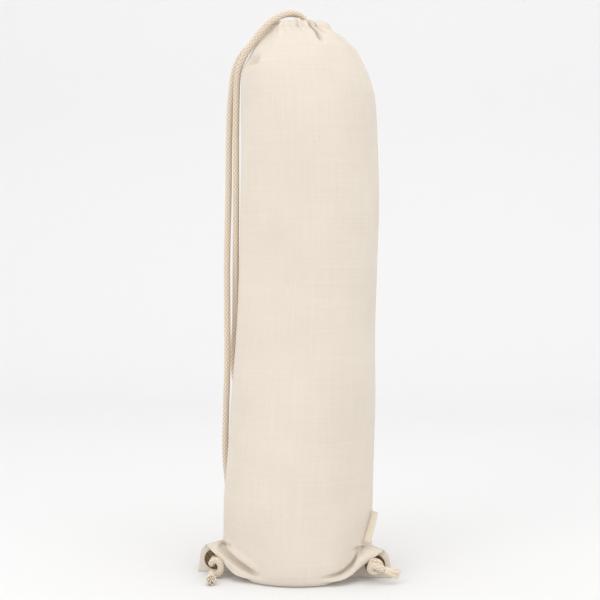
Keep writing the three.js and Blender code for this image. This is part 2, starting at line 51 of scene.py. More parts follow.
def make_camera():
    """Camera at eye height in front of the bag, turned a little to its right, pitched slightly down."""
    data = bpy.data.cameras.new("camera")
    data.lens = CAMERA_LENS
    data.sensor_width = 36
    data.clip_start = 0.05
    data.clip_end = 60
    camera = bpy.data.objects.new("camera", data)
    bpy.context.scene.collection.objects.link(camera)
    right = np.array([math.cos(CAMERA_AZIMUTH), math.sin(CAMERA_AZIMUTH), 0])
    back = np.array([math.sin(CAMERA_AZIMUTH), -math.cos(CAMERA_AZIMUTH), 0])
    camera.location = back * CAMERA_DISTANCE + right * CAMERA_SIDE + np.array([0, 0, CAMERA_HEIGHT])
    camera.rotation_euler = (math.pi / 2 - CAMERA_PITCH, 0, CAMERA_AZIMUTH)
    bpy.context.scene.camera = camera


make_camera()

# Cloth
CLOTH = 0.0014
SEAM_GAP = 0.0003
FOOT_RADIUS = 0.090
FOOT_ROUNDING = 0.008
RIM_HEIGHT = 0.601
SHOULDER_RISE = 0.043
NECK_HEIGHT = RIM_HEIGHT + SHOULDER_RISE
BODY_LEAN = 0.0145
SEAM_FORWARD = 0.038
BODY_SHARE = 0.7  # share of a panel's half width that lies on the round body

# Bottom corners
EAR_REACH = 0.116
EAR_HEIGHT = 0.041
RIDGE_HEIGHT = 0.031
LIP_DROOP = 0.007
LIP_DEPTH = 0.009
BACK_FOLD = 0.3
TUCK_DEPTH = 0.0105
FOLD_TOP = 0.07  # where the rows that follow the fold have turned level

# Drawstring tunnel
TUNNEL_HEIGHT = 0.009
TUNNEL_CLOTH = 0.0018
GATHER_DEPTH = 0.0065
RUFFLE_DEPTH = 0.0026

# Eyelets
EYELET_BORE = 0.005
EYELET_RIM = 0.012
EYELET_FLANGE = 0.0011
EYELET_INSET = 0.020
EYELET_RISE = 0.016
EYELET_LAYER = 0.0016  # one layer of cloth between the flanges
EYELET_MARGIN = 0.005  # of flat cloth beside the flange
FLAT_REACH = EAR_REACH - EYELET_INSET - EYELET_RIM - EYELET_MARGIN  # how far out the recess turns flat

# Cord
CORD_RADIUS = 0.004
BRAID_STRANDS = 6
BRAID_PITCH = 0.0054
BRAID_RELIEF = 0.0007

# Label
LABEL_THICKNESS = 0.0009
LABEL_WIDTH = 0.009
LABEL_FOOT = 0.0035
LABEL_LENGTH = 0.032
LABEL_STANDOFF = 0.0008

BODY_SECTIONS = {
    "height": (0, 0.082, 0.144, 0.223, 0.342, 0.48, 0.618, 0.736, 0.835, 0.934, 0.957, 0.983, 1),
    "radius": (1, 1, 0.997, 0.98, 0.963, 0.922, 0.914, 0.917, 0.903, 0.887, 0.869, 0.838, 0.8),
    "lean": (0, 0.04, 0.06, 0.22, 0.46, 0.68, 0.88, 1, 1, 0.9, 0.79, 0.64, 0.54),
}
SHOULDER_SECTIONS = {
    "rise": (0, 0.26, 0.46, 0.64, 0.81, 0.93, 1),
    "radius": (0.8, 0.735, 0.684, 0.616, 0.551, 0.493, 0.46),
    "lean": (0.54, 0.59, 0.55, 0.41, 0.31, 0.11, 0),
}
SEAM_LINE = {
    "height": (0, 0.06, 0.063, 0.074, 0.095, 0.125, 0.17, 0.25, 1),
    "forward": (0.79, 0.79, 0.79, 1, 0.8, 0.42, 0.14, 0, 0),
}
EAR_EDGE = {
    "height": (0, 0.3, 0.63, 0.72, 0.78, 0.88, 0.94, 1),
    "reach": (1, 0.95, 0.88, 0.8, 0.68, 0.36, 0.15, 0),
}
RIDGE_LINE = {
    "reach": (0, 0.34, 0.47, 0.6, 0.78, 0.94, 1),
    "rise": (0.13, 0.13, 0.16, 0.27, 0.68, 1, 1),
}
# Profile of a corner from the bottom seam upwards: the recess, the lip that hangs over it, the tuck above.
# Height is share of the ridge, plus droop, plus tuck_share of the way to the tuck's edge, plus rise.
# recess, lip and the tucks give the depth of the cloth, as shares of the depths named above
CORNER_FOLD = {
    "step": (0, 1, 2, 3, 4, 5, 6, 7, 8, 9, 10, 11),
    "share": (0, 0.4, 0.8, 1, 1, 1, 1, 1, 1, 1, 1, 1),
    "droop": (0, 0, 0.45, 1, 0, 0, 0, 0, 0, 0, 0, 0),
    "tuck_share": (0, 0, 0, 0, 0.06, 0.3, 0.54, 0.72, 0.85, 0.95, 1, 1),
    "rise": (0, 0, 0, 0, 0.0006, 0, 0, 0, 0, 0.0003, 0.0022, 0.013),
    "recess": (1, 1, 1, 1, 0, 0, 0, 0, 0, 0, 0, 0),
    "lip": (0, 0, 0, 0, 0.7, 1, 0.72, 0.1, 0, 0, 0, 0),
    "tuck_left": (0, 0, 0, 0, 0, 0, -0.1, -0.75, -1, -0.92, 0.3, 0),
    "tuck_right": (0, 0, 0, 0, 0, 0, -0.25, -0.7, -0.85, -0.6, -0.1, 0),
}
# Height of the tuck's edge over the floor, from the middle of the bag outwards
TUCK_LINE_LEFT = {
    "reach": (0, 0.024, 0.0315, 0.0385, 0.0585, 0.0823, 0.098, 0.116),
    "height": (0.011, 0.0112, 0.0125, 0.0158, 0.0242, 0.032, 0.0375, 0.042),
}
TUCK_LINE_RIGHT = {
    "reach": (0, 0.035, 0.046, 0.0563, 0.0617, 0.0687, 0.0724, 0.0754, 0.0776, 0.09, 0.116),
    "height": (0.012, 0.0122, 0.013, 0.0145, 0.0172, 0.0225, 0.0275, 0.034, 0.038, 0.041, 0.042),
}
# Pinch where the side seam meets the top of a corner
PINCH_DEPTH = 0.0025
PINCH_REACH = {"left": 0.0865, "right": 0.0805}
# Gathers: angle from the front towards +X at the neck, its drift down to the rim, and width, in degrees.
# depth is a share of GATHER_DEPTH, start and full are shares of the way from rim to neck
GATHERS = {
    "angle": (-64, -43, -31, -19, -6, 7, 17, 30, 40, 52, 61, 98, 117, 138, 160, 182, 205, 228, 250, 272),
    "drift": (0, 0, -4, 3, 2, -3, 4, -3, 1, 4, 7, 0, 3, -2, 2, 0, 3, -3, 2, 0),
    "width": (6, 13, 3, 3.5, 3, 2.4, 3, 2.3, 1.9, 3.5, 4, 6, 6, 7, 6, 6, 7, 6, 6, 6),
    "depth": (0.1, 0.8, 0.55, 0.3, 0.4, 0.6, 0.45, 2.0, 1.25, 0.3, 0.5, 0.6, 0.9, 0.7, 0.95, 0.6, 0.9, 0.65,
              0.9, 0.6),
    "start": (0.2, 0, 0.6, 0.55, 0.7, 0.62, 0.75, 0.4, 0.7, 0.3, -1.0, 0.3, 0.1, 0.35, 0.15, 0.4, 0, 0.3,
              0.2, 0.4),
    "full": (1, 0.7, 1, 1, 1, 1, 1, 0.72, 0.9, 1, -0.1, 1, 1, 1, 1, 1, 1, 1, 1, 1),
}
# Ledge over the mat's rim at the left: the cloth above it falls in
LEDGE_STEP = 0.003  # height above LEDGE_HEIGHT at which the step is full
LEDGE_FADE_START = 0.002  # height above it at which the step starts to fade
LEDGE_FADE_END = 0.018  # height above it at which the step is gone
LEDGE_ANGLE = -55
LEDGE_WIDTH = 12
LEDGE_HEIGHT = 0.5975
LEDGE_DEPTH = 0.010
TUNNEL_WALL = {
    "step": (0, 1, 2, 3, 4, 5, 6, 7, 8),
    "spread": (1, 0.955, 0.89, 0.79, 0.68, 0.57, 0.49, 0.45, 0.44),
    "rise": (0, 0.32, 0.66, 0.9, 1, 0.9, 0.5, -0.1, -0.8),
    "ruffle": (0, 0.3, 0.75, 1, 1, 1, 0.7, 0.5, 0.4),
}


def mix(low, high, share):
    return low + (high - low) * share


def smooth(low, high, x):
    share = np.clip((x - low) / (high - low), 0, 1)
    return share * share * (3 - 2 * share)


def along(table, key, column, x):
    """A column of a table at x: between two rows a cubic, whose end slopes are those of the chords
    between the rows on either side."""
    keys = np.array(table[key], float)
    values = np.array(table[column], float)
    last = len(keys) - 1
    x = np.clip(x, keys[0], keys[-1])
    i = np.clip(np.searchsorted(keys, x, side="right") - 1, 0, last - 1)
    before = np.maximum(i - 1, 0)
    after = np.minimum(i + 2, last)
    span = keys[i + 1] - keys[i]
    start = (values[i + 1] - values[before]) / (keys[i + 1] - keys[before]) * span
    end = (values[after] - values[i]) / (keys[after] - keys[i]) * span
    s = (x - keys[i]) / span
    square = s * s
    cube = square * s
    return (
        (2 * cube - 3 * square + 1) * values[i]
        + (cube - 2 * square + s) * start
        + (3 * square - 2 * cube) * values[i + 1]
        + (cube - square) * end
    )


def shoulder_rise(z):
    return (z - RIM_HEIGHT) / SHOULDER_RISE


def body_radius(z):
    """Radius at height z: the sections' radius, less a quarter circle's recess at the floor."""
    above = FOOT_RADIUS * along(SHOULDER_SECTIONS, "rise", "radius", shoulder_rise(z))
    turn = np.clip(1 - z / FOOT_ROUNDING, 0, 1)
    below = FOOT_RADIUS * along(BODY_SECTIONS, "height", "radius", z / RIM_HEIGHT)
    return np.where(z > RIM_HEIGHT, above, below - FOOT_ROUNDING * (1 - np.sqrt(1 - turn * turn)))


def body_middle(z):
    above = along(SHOULDER_SECTIONS, "rise", "lean", shoulder_rise(z))
    below = along(BODY_SECTIONS, "height", "lean", z / RIM_HEIGHT)
    return BODY_LEAN * np.where(z > RIM_HEIGHT, above, below)


def gather_depth(angle, z):
    """Depth of the gathers and of the ledge. A gather is a bell curve over the angle, growing smoothly
    from its start to its full depth. The ledge is a bell curve with a steep foot that fades upwards."""
    rise = shoulder_rise(z)
    depth = np.zeros(np.broadcast(angle, z).shape)
    for centre, drift, width, share, start, full in zip(*GATHERS.values()):
        apart = (angle - centre - drift * np.clip(1 - rise, 0, 2) + 540) % 360 - 180
        depth += GATHER_DEPTH * share * np.exp(-((apart / width) ** 2)) * smooth(start, full, rise)
    apart = (angle - LEDGE_ANGLE) / LEDGE_WIDTH
    foot = smooth(LEDGE_HEIGHT, LEDGE_HEIGHT + LEDGE_STEP, z)
    fade = smooth(LEDGE_HEIGHT + LEDGE_FADE_END, LEDGE_HEIGHT + LEDGE_FADE_START, z)
    return depth + LEDGE_DEPTH * np.exp(-(apart**4)) * foot * fade


def soft_waves(angle, z):
    """Slow swells of the cloth over the mat: three crossing sine waves, fading towards both ends."""
    turn = np.radians(angle)
    swell = (
        np.sin(3 * turn + 9 * z + 1.3)
        + 0.7 * np.sin(5 * turn - 17 * z + 0.4)
        + 0.5 * np.sin(9 * turn + 6 * z + 2.6)
    )
    return 0.00032 * swell * smooth(FOLD_TOP, 0.16, z) * smooth(RIM_HEIGHT, 0.54, z)


def seam_plane(z):
    return -SEAM_FORWARD * along(SEAM_LINE, "height", "forward", z / RIM_HEIGHT)


def ear_reach(z):
    return along(EAR_EDGE, "height", "reach", z / EAR_HEIGHT)


def panel_section(facing, across, z):
    """Level section of a panel: an arc of the round body, then a cubic curve that leaves the arc's
    end tangentially and arrives flat at the corner's edge, or, above the corner, at the seam."""
    radius = body_radius(z)
    middle = body_middle(z)
    seam_y = seam_plane(z)
    side = np.where(across < 0, -1.0, 1.0)
    seam_angle = np.arccos(np.clip(facing * seam_y / radius, -1, 1))
    body_angle = seam_angle * BODY_SHARE
    share = np.abs(across)
    round_x = middle + side * radius * np.sin(seam_angle * share)
    round_y = facing * radius * np.cos(seam_angle * share)
    flap = ear_reach(z)
    flat = smooth(0, 0.3, flap)
    tip_x = mix(middle + side * radius * np.sin(seam_angle), side * EAR_REACH, flap)
    tip_y = seam_y + facing * (SEAM_GAP / 2 + CLOTH * flat)
    handle = (4 / 3) * np.tan((seam_angle - body_angle) / 4) * radius
    from_x = middle + side * radius * np.sin(body_angle)
    from_y = facing * radius * np.cos(body_angle)
    leave_x = from_x + side * handle * np.cos(body_angle)
    leave_y = from_y - facing * handle * np.sin(body_angle)
    arrive_x = tip_x - side * mix(handle * np.cos(seam_angle), 0.022, flat)
    arrive_y = mix(tip_y + facing * handle * np.sin(seam_angle), tip_y, flat)
    u = np.clip((share - BODY_SHARE) / (1 - BODY_SHARE), 0, 1)
    v = 1 - u
    bend_x = v**3 * from_x + 3 * v * v * u * leave_x + 3 * v * u * u * arrive_x + u**3 * tip_x
    bend_y = v**3 * from_y + 3 * v * v * u * leave_y + 3 * v * u * u * arrive_y + u**3 * tip_y
    on_body = share <= BODY_SHARE
    return np.where(on_body, round_x, bend_x), np.where(on_body, round_y, bend_y)


def corner_rows(facing, across, step, level):
    """Rows that follow the slanting fold of the corners. The fold's profile gives height and depth for
    each step, level takes the last rows over to a level height."""
    share = np.abs(across)
    left = across < 0
    line_x, _ = panel_section(facing, across, np.full_like(across, RIDGE_HEIGHT * 0.3))
    for _ in range(4):
        reach = np.abs(line_x) / EAR_REACH
        ridge = RIDGE_HEIGHT * along(RIDGE_LINE, "reach", "rise", reach)
        line_x, _ = panel_section(facing, across, ridge)
    out = np.abs(line_x)
    fold = smooth(0.3, 0.62, reach) * (1 - smooth(0.975, 1, share))
    profile = {name: along(CORNER_FOLD, "step", name, step) for name in CORNER_FOLD}
    edge_left = along(TUCK_LINE_LEFT, "reach", "height", out)
    edge_right = along(TUCK_LINE_RIGHT, "reach", "height", out)
    tuck_edge = np.maximum(np.where(left, edge_left, edge_right), ridge + 0.006)
    z = ridge * profile["share"] + LIP_DROOP * fold * profile["droop"] + profile["rise"]
    z = z + (tuck_edge - ridge) * profile["tuck_share"]
    z = mix(z, level[0], level[1])
    x, y = panel_section(facing, across, z)
    plane = seam_plane(z) + facing * (SEAM_GAP / 2 + CLOTH)
    inward = np.clip((FLAT_REACH - np.abs(x)) / EAR_REACH, 0, 1)
    recess = plane + facing * 0.4 * inward * inward
    recessed = np.maximum(y, recess) if facing < 0 else np.minimum(y, recess)
    y = mix(y, recessed, profile["recess"] * fold)
    held = mix(1, smooth(0, 0.35, ear_reach(z)), smooth(0.55, 0.8, share))
    edge = held * mix(1, 0.35, smooth(0.84, 0.97, share))
    y = y + facing * LIP_DEPTH * (1 if facing < 0 else BACK_FOLD) * fold * profile["lip"] * edge
    ends_left = smooth(0.104, 0.086, out) * smooth(0.03, 0.048, out)
    ends_right = smooth(0.092, 0.077, out) * smooth(0.034, 0.058, out)
    tuck = np.where(left, profile["tuck_left"] * ends_left, profile["tuck_right"] * ends_right)
    front = (1 if facing < 0 else 0.3) * (1 - level[1])
    y = y + facing * TUCK_DEPTH * tuck * front
    pinch = np.where(left, PINCH_REACH["left"], PINCH_REACH["right"])
    pinch = np.exp(-(((np.abs(x) - pinch) / 0.0026) ** 2)) * smooth(0.026, 0.034, z) * smooth(0.052, 0.04, z)
    y = y - facing * PINCH_DEPTH * pinch * (1 if facing < 0 else 0.3)
    flat_here = (z < EAR_HEIGHT * 0.8) & (share > BODY_SHARE)
    limited = np.minimum(y, plane) if facing < 0 else np.maximum(y, plane)
    return x, np.where(flat_here, limited, y), z


def level_rows(facing, across, z):
    """Level rows of the body and the shoulder, drawn in by the gathers."""
    x, y = panel_section(facing, across, z)
    middle = body_middle(z)
    angle = np.degrees(np.arctan2(x - middle, -y))
    radius = np.hypot(x - middle, y)
    scale = 1 - (gather_depth(angle, z) - soft_waves(angle, z)) / radius
    return middle + (x - middle) * scale, y * scale, z + np.zeros_like(x)


# Meshes
def set_mesh(name, points, quads, uv, caps=()):
    """Mesh from points (n, 3), quads (m, 4), one uv pair for each corner of each quad, and caps:
    extra faces, each a run of point numbers."""
    corners = np.concatenate([quads.ravel(), *[np.asarray(cap) for cap in caps]])
    sizes = np.concatenate([np.full(len(quads), 4), [len(cap) for cap in caps]]).astype(np.int32)
    cap_uv = [points[np.asarray(cap)][:, :2] for cap in caps]
    pairs = np.concatenate([uv.reshape(-1, 2), *cap_uv])
    mesh = bpy.data.meshes.new(name)
    mesh.vertices.add(len(points))
    mesh.vertices.foreach_set("co", points.astype(np.float32).ravel())
    mesh.loops.add(len(corners))
    mesh.loops.foreach_set("vertex_index", corners.astype(np.int32))
    mesh.polygons.add(len(sizes))
    mesh.polygons.foreach_set("loop_start", (np.cumsum(sizes) - sizes).astype(np.int32))
    mesh.polygons.foreach_set("use_smooth", np.ones(len(sizes), bool))
    mesh.uv_layers.new(name="cloth").data.foreach_set("uv", pairs.astype(np.float32).ravel())
    mesh.update(calc_edges=True)
    mesh.validate()
    return mesh


def grid_faces(rows, columns, wrap):
    """Corner numbers of the quads of a grid, and the row and column of each corner for its uv."""
    last = columns if wrap else columns - 1
    j, i = np.meshgrid(np.arange(rows - 1), np.arange(last), indexing="ij")
    row = np.stack([j, j, j + 1, j + 1], axis=-1).reshape(-1, 4)
    column = np.stack([i, i + 1, i + 1, i], axis=-1).reshape(-1, 4)
    return row * columns + column % columns, row, column


def new_piece(name, mesh, material, slot, *nodes):
    """Finished piece that rides on the bag, stands for its nodes and takes its finish from the material
    given; slot is not used.
    """
    piece = bpy.data.objects.new(name, mesh)
    bpy.context.scene.collection.objects.link(piece)
    mesh.materials.append(material)
    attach(piece, "root")
    if nodes:
        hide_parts(*nodes)
    return piece


def thicken(piece, thickness):
    """Wall of even thickness, inwards from the modelled face."""
    wall = piece.modifiers.new("wall", "SOLIDIFY")
    wall.thickness = thickness
    wall.offset = -1
    wall.use_even_offset = False
    wall.use_rim = True


def arc_lengths(points, axis):
    """Running length of the grid lines along an axis, averaged over the other one."""
    steps = np.linalg.norm(np.diff(points, axis=axis), axis=-1).mean(axis=1 - axis)
    return np.concatenate([[0], np.cumsum(steps)])


# Shader node groups
def new_group(name, inputs, outputs):
    """Empty node group with named sockets: inputs as (name, type, default), outputs as (name, type)."""
    group = bpy.data.node_groups.new(name, "ShaderNodeTree")
    for title, kind, default in inputs:
        socket = group.interface.new_socket(title, in_out="INPUT", socket_type=kind)
        if default is not None:
            socket.default_value = default
    for title, kind in outputs:
        group.interface.new_socket(title, in_out="OUTPUT", socket_type=kind)
    return group, group.nodes.new("NodeGroupInput"), group.nodes.new("NodeGroupOutput")


class Sheet:
    """Short way to add nodes to a tree and to join them."""

    def __init__(self, tree):
        self.tree = tree

    def node(self, kind, inputs=None, **settings):
        made = self.tree.nodes.new(kind)
        for key, value in settings.items():
            setattr(made, key, value)
        for key, value in (inputs or {}).items():
            self.put(made.inputs[key], value)
        return made

    def put(self, socket, value):
        if isinstance(value, bpy.types.NodeSocket):
            self.tree.links.new(value, socket)
        else:
            socket.default_value = value

    def math(self, operation, *values):
        made = self.tree.nodes.new("ShaderNodeMath")
        made.operation = operation
        for socket, value in zip(made.inputs, values):
            self.put(socket, value)
        return made.outputs[0]

    def noise(self, vector, scale, detail=2.0, roughness=0.5):
        made = self.node("ShaderNodeTexNoise", {"Vector": vector, "Detail": detail, "Roughness": roughness})
        self.put(made.inputs["Scale"], scale)
        return made.outputs["Fac"]

    def stretched(self, vector, scale):
        return self.node("ShaderNodeMapping", {"Vector": vector, "Scale": scale}).outputs["Vector"]

    def blend(self, factor, a, b, mode="MIX"):
        made = self.node("ShaderNodeMix", data_type="RGBA", blend_type=mode)
        self.put(made.inputs["Factor"], factor)
        self.put(made.inputs[6], a)
        self.put(made.inputs[7], b)
        return made.outputs[2]


def weave_group():
    """Plain weave: warp and weft threads with round backs, each on top in turn. Slubs thicken single
    threads. Height is 0 to 1, Shade is a mask of painted shade, darker between the threads."""
    group, start, end = new_group(
        "plain_weave",
        [("Vector", "NodeSocketVector", None), ("Pitch", "NodeSocketFloat", 0.0008)],
        [("Height", "NodeSocketFloat"), ("Shade", "NodeSocketFloat")],
    )
    s = Sheet(group)
    split = s.node("ShaderNodeSeparateXYZ", {"Vector": start.outputs["Vector"]})
    turn = s.math("DIVIDE", math.pi, start.outputs["Pitch"])
    drift = s.math("MULTIPLY", s.math("SUBTRACT", s.noise(start.outputs["Vector"], 90.0), 0.5), 0.0012)
    warp = s.math("SINE", s.math("MULTIPLY", s.math("ADD", split.outputs["X"], drift), turn))
    weft = s.math("SINE", s.math("MULTIPLY", s.math("ADD", split.outputs["Y"], drift), turn))
    crossing = s.math("MULTIPLY", warp, weft)
    top = s.node("ShaderNodeMapRange", {"Value": crossing, "From Min": -0.5, "From Max": 0.5})
    top.interpolation_type = "SMOOTHSTEP"
    warp_slub = s.noise(s.stretched(start.outputs["Vector"], (900, 25, 1)), 1.0, 1.0)
    weft_slub = s.noise(s.stretched(start.outputs["Vector"], (25, 900, 1)), 1.0, 1.0)
    warp_back = s.math("MULTIPLY", s.math("ABSOLUTE", warp), s.math("ADD", warp_slub, 0.5))
    weft_back = s.math("MULTIPLY", s.math("ABSOLUTE", weft), s.math("ADD", weft_slub, 0.5))
    share = top.outputs["Result"]
    height = s.math(
        "ADD",
        s.math("MULTIPLY", warp_back, share),
        s.math("MULTIPLY", weft_back, s.math("SUBTRACT", 1.0, share)),
    )
    s.put(end.inputs["Height"], height)
    shade = s.node("ShaderNodeMapRange", {"Value": height, "From Min": 0.1, "From Max": 0.8})
    s.put(end.inputs["Shade"], shade.outputs["Result"])
    return group


def cotton_group():
    """Tone of undyed cotton: broad soft clouds, thread streaks both ways, and sparse seed specks."""
    group, start, end = new_group(
        "raw_cotton",
        [
            ("Vector", "NodeSocketVector", None),
            ("Light", "NodeSocketColor", (1, 1, 1, 1)),
            ("Dark", "NodeSocketColor", (0, 0, 0, 1)),
            ("Speck", "NodeSocketColor", (0.3, 0.2, 0.1, 1)),
        ],
        [("Color", "NodeSocketColor")],
    )
    s = Sheet(group)
    vector = start.outputs["Vector"]
    cloud = s.noise(vector, 14.0, 3.0)
    warp = s.noise(s.stretched(vector, (420, 9, 1)), 1.0, 2.0)
    weft = s.noise(s.stretched(vector, (9, 420, 1)), 1.0, 2.0)
    streaks = s.math("MULTIPLY", s.math("ADD", warp, weft), 0.5)
    tone = s.math("ADD", s.math("MULTIPLY", cloud, 0.5), s.math("MULTIPLY", streaks, 0.5))
    share = s.node("ShaderNodeMapRange", {"Value": tone, "From Min": 0.34, "From Max": 0.62})
    base = s.blend(share.outputs["Result"], start.outputs["Dark"], start.outputs["Light"])
    cells = s.node("ShaderNodeTexVoronoi", {"Vector": vector, "Scale": 115.0})
    apart = cells.outputs["Distance"]
    near = s.node("ShaderNodeMapRange", {"Value": apart, "From Min": 0.1, "From Max": 0.04})
    chosen = s.math("GREATER_THAN", s.noise(vector, 31.0, 0.0), 0.64)
    speck = s.math("MULTIPLY", s.math("MULTIPLY", near.outputs["Result"], chosen), 0.4)
    s.put(end.inputs["Color"], s.blend(speck, base, start.outputs["Speck"]))
    return group


weave = weave_group()
raw_cotton = cotton_group()


def new_material(name):
    material = bpy.data.materials.new(name)
    material.use_nodes = True
    return material, Sheet(material.node_tree), material.node_tree.nodes["Principled BSDF"]


def canvas_material(name, light, dark, pitch, depth):
    """Undyed canvas: raw cotton tone with painted shade darker between the threads, weave and soft creases
    as bump.
    """
    material, s, shader = new_material(name)
    uv = s.node("ShaderNodeUVMap", uv_map="cloth").outputs["UV"]
    cloth = s.node("ShaderNodeGroup", node_tree=weave)
    s.put(cloth.inputs["Vector"], uv)
    s.put(cloth.inputs["Pitch"], pitch)
    tone = s.node("ShaderNodeGroup", node_tree=raw_cotton)
    s.put(tone.inputs["Vector"], uv)
    s.put(tone.inputs["Light"], (*light, 1))
    s.put(tone.inputs["Dark"], (*dark, 1))
    s.put(tone.inputs["Speck"], (0.42, 0.32, 0.22, 1))
    # painted shade: the cotton tone is darkened between the threads, where the weave's Shade mask is low
    gap_shade = s.blend(1.0, tone.outputs["Color"], (0.86, 0.83, 0.8, 1), "MULTIPLY")
    s.put(shader.inputs["Base Color"], s.blend(cloth.outputs["Shade"], gap_shade, tone.outputs["Color"]))
    rough = s.node("ShaderNodeMapRange", {"Value": cloth.outputs["Shade"], "To Min": 1.0, "To Max": 0.86})
    s.put(shader.inputs["Roughness"], rough.outputs["Result"])
    creases = s.noise(uv, 55.0, 3.0)
    soft = s.node("ShaderNodeBump", {"Height": creases, "Distance": 0.0012, "Strength": 0.35})
    fine = s.node("ShaderNodeBump", {"Height": cloth.outputs["Height"], "Distance": depth, "Strength": 0.8})
    s.put(fine.inputs["Normal"], soft.outputs["Normal"])
    s.put(shader.inputs["Normal"], fine.outputs["Normal"])
    shader.inputs["Sheen Weight"].default_value = 0.12
    shader.inputs["Sheen Roughness"].default_value = 0.6
    shader.inputs["Specular IOR Level"].default_value = 0.2
    return material


def cord_material(name, light, dark, fibre_stretch):
    """Cotton yarn: uv runs round and along a strand, fine fibres along it, painted shade darker in the
    grooves.
    """
    material, s, shader = new_material(name)
    uv = s.node("ShaderNodeUVMap", uv_map="cloth").outputs["UV"]
    groove_shade = s.node("ShaderNodeAttribute", attribute_name="groove_shade").outputs["Fac"]
    fibres = s.noise(s.stretched(uv, fibre_stretch), 1.0, 3.0)
    cloud = s.noise(uv, 60.0, 2.0)
    share = s.math("MULTIPLY", s.math("ADD", fibres, cloud), 0.5)
    tone = s.blend(share, (*dark, 1), (*light, 1))
    # painted shade: the yarn tone darkened in the grooves between the strands
    deep = s.blend(1.0, tone, (0.5, 0.42, 0.34, 1), "MULTIPLY")
    s.put(shader.inputs["Base Color"], s.blend(groove_shade, tone, deep))
    rough = s.node("ShaderNodeMapRange", {"Value": fibres, "To Min": 0.82, "To Max": 1.0})
    s.put(shader.inputs["Roughness"], rough.outputs["Result"])
    bump = s.node("ShaderNodeBump", {"Height": fibres, "Distance": 0.0004, "Strength": 0.6})
    s.put(shader.inputs["Normal"], bump.outputs["Normal"])
    shader.inputs["Sheen Weight"].default_value = 0.15
    shader.inputs["Sheen Roughness"].default_value = 0.6
    shader.inputs["Specular IOR Level"].default_value = 0.2
    return material


def bronze_material():
    """Dark bronze plating, lighter and smoother where it is rubbed, fine scratches as bump."""
    material, s, shader = new_material("bronze")
    place = s.node("ShaderNodeTexCoord").outputs["Object"]
    wear = s.noise(place, 700.0, 4.0)
    rubbed = s.node("ShaderNodeMapRange", {"Value": wear, "From Min": 0.45, "From Max": 0.7})
    colour = s.blend(rubbed.outputs["Result"], (0.11, 0.075, 0.045, 1), (0.3, 0.22, 0.14, 1))
    s.put(shader.inputs["Base Color"], colour)
    rough = s.node("ShaderNodeMapRange", {"Value": wear, "To Min": 0.42, "To Max": 0.24})
    s.put(shader.inputs["Roughness"], rough.outputs["Result"])
    shader.inputs["Metallic"].default_value = 1.0
    scratches = s.noise(s.stretched(place, (3000, 3000, 300)), 1.0, 2.0)
    bump = s.node("ShaderNodeBump", {"Height": scratches, "Distance": 0.0001, "Strength": 0.3})
    s.put(shader.inputs["Normal"], bump.outputs["Normal"])
    return material


CANVAS_LIGHT = (0.81, 0.735, 0.64)
CANVAS_DARK = (0.75, 0.675, 0.58)
canvas = canvas_material("canvas", CANVAS_LIGHT, CANVAS_DARK, 0.00075, 0.00016)
hem_canvas = canvas_material("hem_canvas", CANVAS_LIGHT, CANVAS_DARK, 0.00075, 0.00016)
ribbon = canvas_material("ribbon", (0.80, 0.72, 0.60), (0.74, 0.65, 0.53), 0.0004, 0.00008)
braid = cord_material("braid", (0.88, 0.78, 0.65), (0.8, 0.69, 0.56), (1400, 160, 1))
yarn = cord_material("yarn", (0.86, 0.77, 0.64), (0.76, 0.65, 0.52), (2200, 120, 1))
bronze = bronze_material()

# Panels
PANEL_COLUMNS = 200
CORNER_COLUMNS = 0.5
UNDER_ROWS = 6
FOLD_ROWS = 78
RISE_ROWS = 14
BODY_ROWS = 36
GATHER_ROWS = 88
GATHER_FOOT = 0.568


def panel_points(facing):
    """Grid of a panel's outer face, from the seam under the bag, round the foot, up to the neck."""
    even = np.linspace(-1, 1, PANEL_COLUMNS + 1)
    inner = 1 - CORNER_COLUMNS
    count = np.abs(even)
    corner = mix(BODY_SHARE, 1, (count - inner) / CORNER_COLUMNS)
    across = np.sign(even) * np.where(count < inner, count / inner * BODY_SHARE, corner)
    across = across[None, :] * (1 if facing < 0 else -1)
    steps = np.linspace(0, 11, FOLD_ROWS)[:, None]
    no_level = (0.0, np.zeros_like(steps))
    fold = np.stack(corner_rows(facing, across, steps, no_level), axis=-1)
    rise = smooth(0, 1, np.linspace(0, 1, RISE_ROWS + 1)[1:, None])
    over = np.stack(corner_rows(facing, across, np.full_like(rise, 11), (FOLD_TOP, rise)), axis=-1)
    body = np.linspace(FOLD_TOP, GATHER_FOOT, BODY_ROWS + 1)[1:, None]
    shoulder = np.linspace(GATHER_FOOT, NECK_HEIGHT, GATHER_ROWS + 1)[1:, None]
    levels = np.concatenate([body, shoulder])
    upper = np.stack(level_rows(facing, across, levels), axis=-1)
    under = np.linspace(1, 0, UNDER_ROWS + 1)[:-1, None]
    sole = np.repeat(fold[:1], UNDER_ROWS, axis=0)
    sole[:, :, 1] = mix(sole[:, :, 1], seam_plane(0.0) + facing * SEAM_GAP / 2, under)
    return np.concatenate([sole, fold, over, upper])


def make_panel(name, facing, slot, node):
    points = panel_points(facing)
    rows, columns = points.shape[:2]
    quads, row, column = grid_faces(rows, columns, False)
    width = arc_lengths(points, 1)
    height = arc_lengths(points, 0)
    uv = np.stack([width[column], height[row]], axis=-1)
    mesh = set_mesh(name, points.reshape(-1, 3), quads, uv)
    piece = new_piece(name, mesh, canvas, slot, node)
    thicken(piece, CLOTH)
    return piece


make_panel("front_canvas", -1, "canvas_front", "front_panel")
make_panel("back_canvas", 1, "canvas_back", "back_panel")

# Drawstring tunnel
TUNNEL_COLUMNS = 320
TUNNEL_ROWS = 64
RUFFLES = 11
TUNNEL_LENGTH = 0.3  # of cloth round the mouth, for the weave


